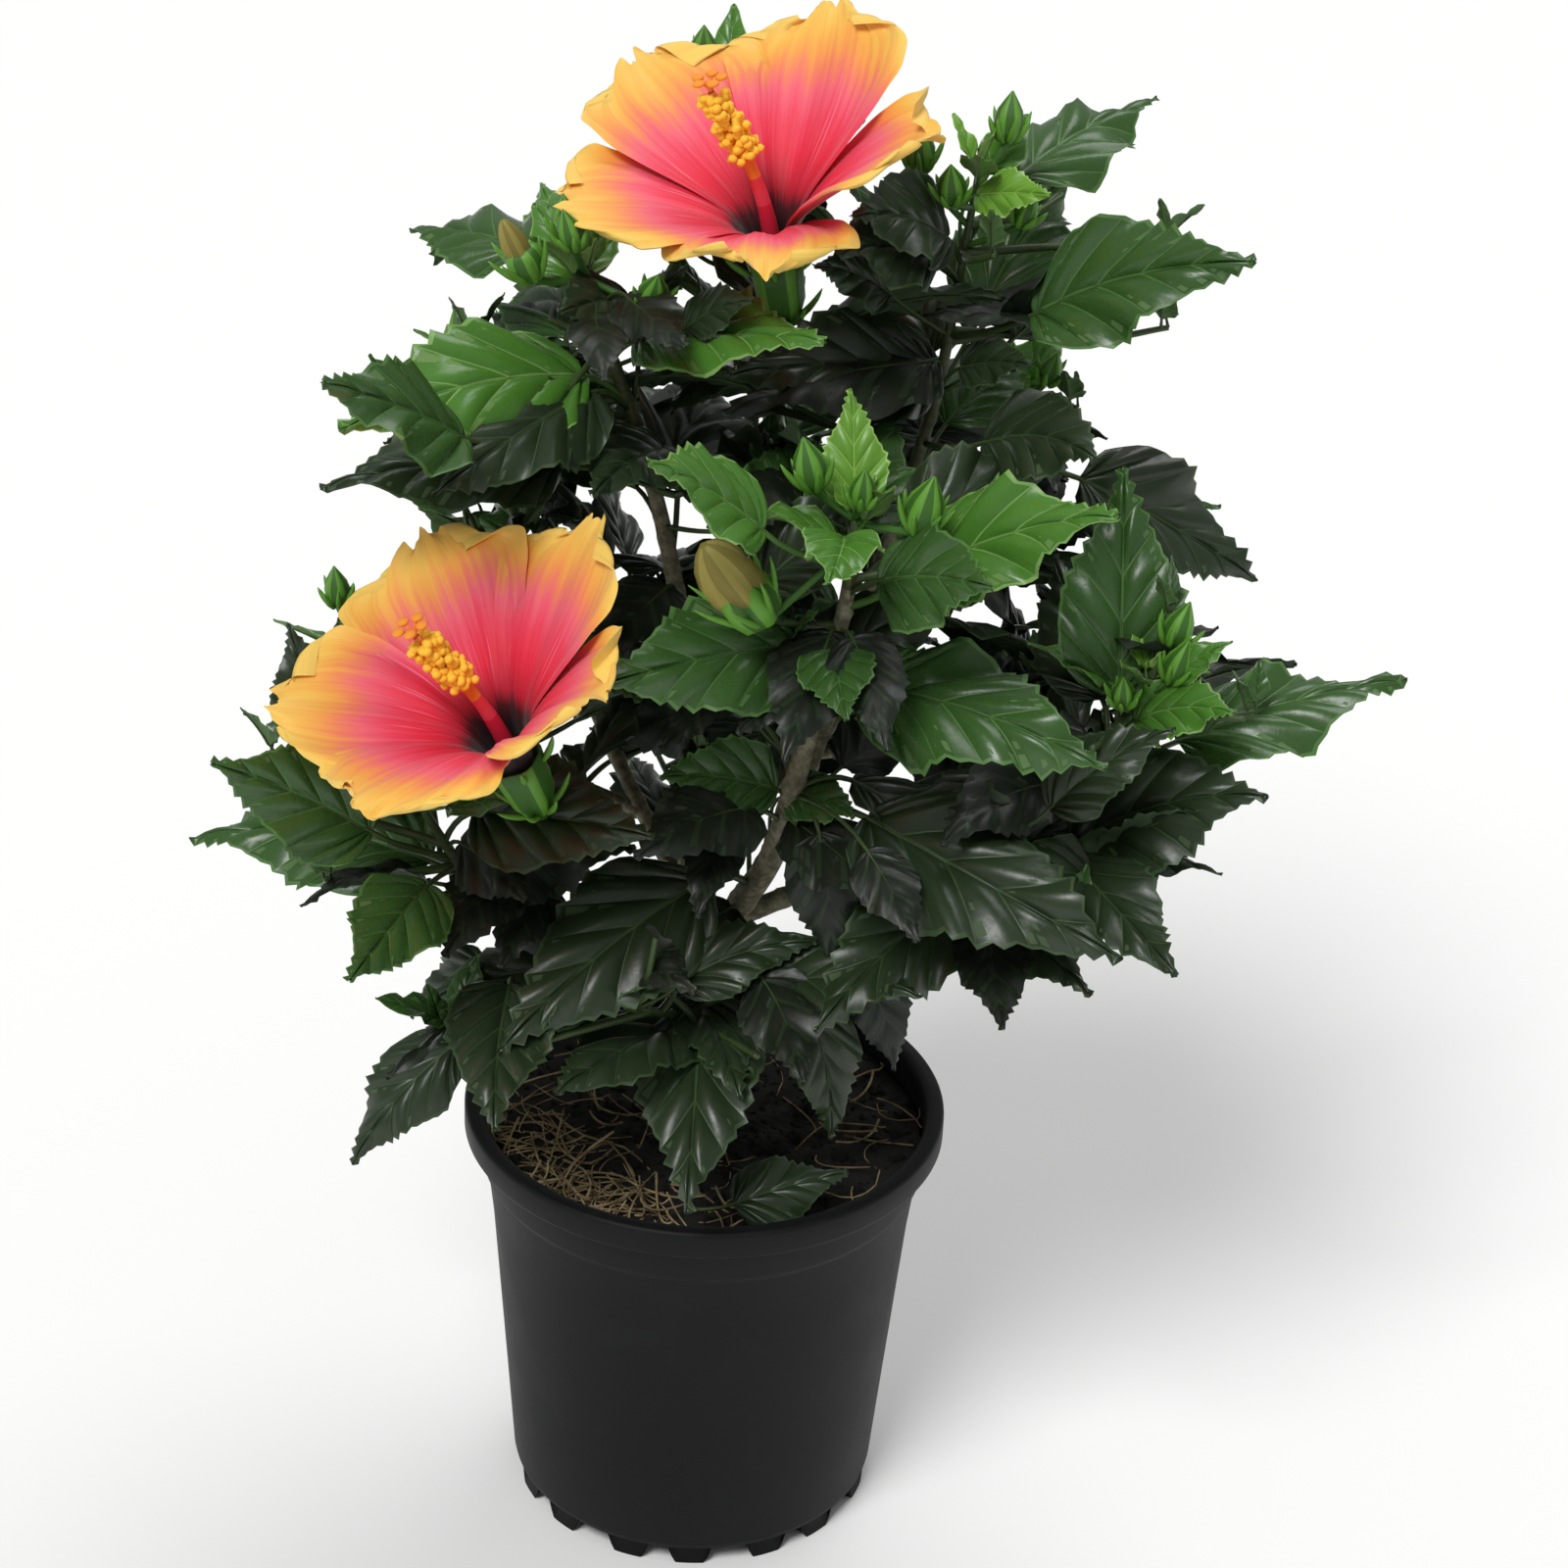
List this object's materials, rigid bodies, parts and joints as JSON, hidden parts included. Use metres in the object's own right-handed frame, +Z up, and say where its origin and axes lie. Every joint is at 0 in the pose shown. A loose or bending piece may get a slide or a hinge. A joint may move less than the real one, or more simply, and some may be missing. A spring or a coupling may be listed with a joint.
{
  "type": "potted hibiscus shrub",
  "caption": "Young bushy hibiscus shrub in a black nursery pot, with glossy toothed leaves, buds and open yellow, orange and pink blooms on woody stems.",
  "frame": {"origin": "centre of the pot's underside, level with its feet", "axes": "+Z up along the pot's axis, -Y towards the shrub's front, +X to the right seen from the front"},
  "size_m": [0.402, 0.289, 0.535],
  "materials": {
    "pot": "matte charcoal-black moulded plastic",
    "compost": "moist dark compost with straw-coloured fibres",
    "bark": "matte grey-brown woody bark, greener on young shoots",
    "foliage": "glossy deep green leaves, brighter where young",
    "bloom": "soft satin petals, yellow edge through orange and pink to a dark red throat"
  },
  "bodies": {
    "root": {"pot": "pot", "compost": "compost", "main_stem": "bark", "stem_front": "bark", "stem_left": "bark", "stem_top": "bark", "bough_upper_right": "bark", "bough_right": "bark", "bough_lower_left": "bark", "bough_bloom": "bark", "bough_back_left": "bark", "bough_back_right": "bark", "bough_back_top": "bark", "bough_low_left": "bark", "bough_low_front": "bark", "bough_back_low": "bark", "bough_left_back": "bark", "bough_right_back": "bark", "bloom_upper": "bloom", "bloom_lower": "bloom", "foliage_upper_left": "foliage", "foliage_upper_right": "foliage", "foliage_top_back": "foliage", "foliage_centre": "foliage", "foliage_core": "foliage", "foliage_right": "foliage", "foliage_lower_right": "foliage", "foliage_lower_left": "foliage", "foliage_left": "foliage", "foliage_low_left": "foliage", "foliage_low_front": "foliage", "foliage_heart": "foliage", "foliage_back_left": "foliage", "foliage_back_right": "foliage", "foliage_back_low": "foliage", "foliage_left_back": "foliage", "foliage_right_back": "foliage"}
  },
  "joints": []
}
